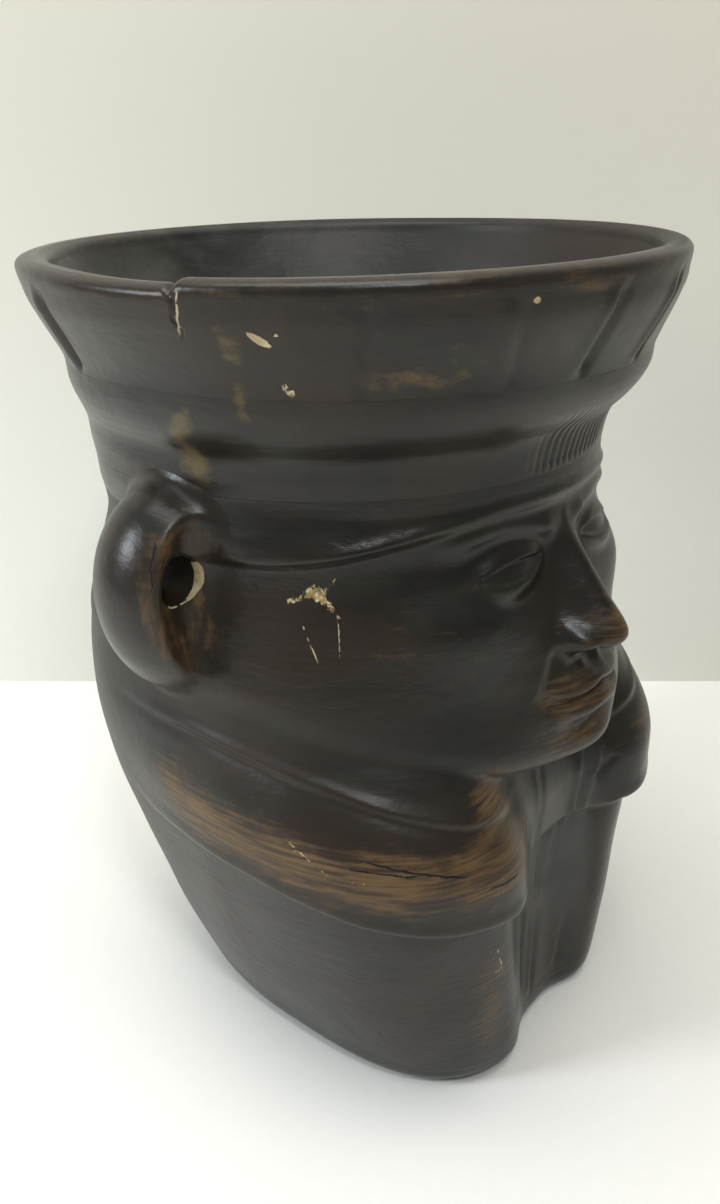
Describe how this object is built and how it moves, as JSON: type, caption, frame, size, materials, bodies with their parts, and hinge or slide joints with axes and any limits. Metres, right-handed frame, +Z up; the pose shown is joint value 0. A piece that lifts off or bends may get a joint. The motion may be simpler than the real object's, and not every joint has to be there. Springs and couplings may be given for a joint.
{
  "type": "head-shaped ceramic vessel",
  "caption": "Open ceramic vessel in the shape of a head with pierced ears, a banded headdress that flares to the rim, and a cape over a cleft front.",
  "frame": {"origin": "on the flat resting face, straight below the middle of the rim", "axes": "+Z up from the resting face to the mouth, -Y the way the face looks, +X the figure's left"},
  "size_m": [0.1378, 0.1321, 0.176],
  "materials": {
    "slip": "burnished dark slip, semi-gloss, worn to brown clay on the edges",
    "slip_inside": "smoothed dark inside, soft sheen"
  },
  "bodies": {
    "root": {"base_slab": "slip", "front_half": "slip", "back_half": "slip", "base_coil": "slip_inside", "right_seam_coil": "slip_inside", "left_seam_coil": "slip_inside", "crown_collar": "slip", "headband_roll": "slip", "brow_band": "slip", "rim_lip": "slip", "right_ear": "slip", "left_ear": "slip"}
  },
  "joints": []
}
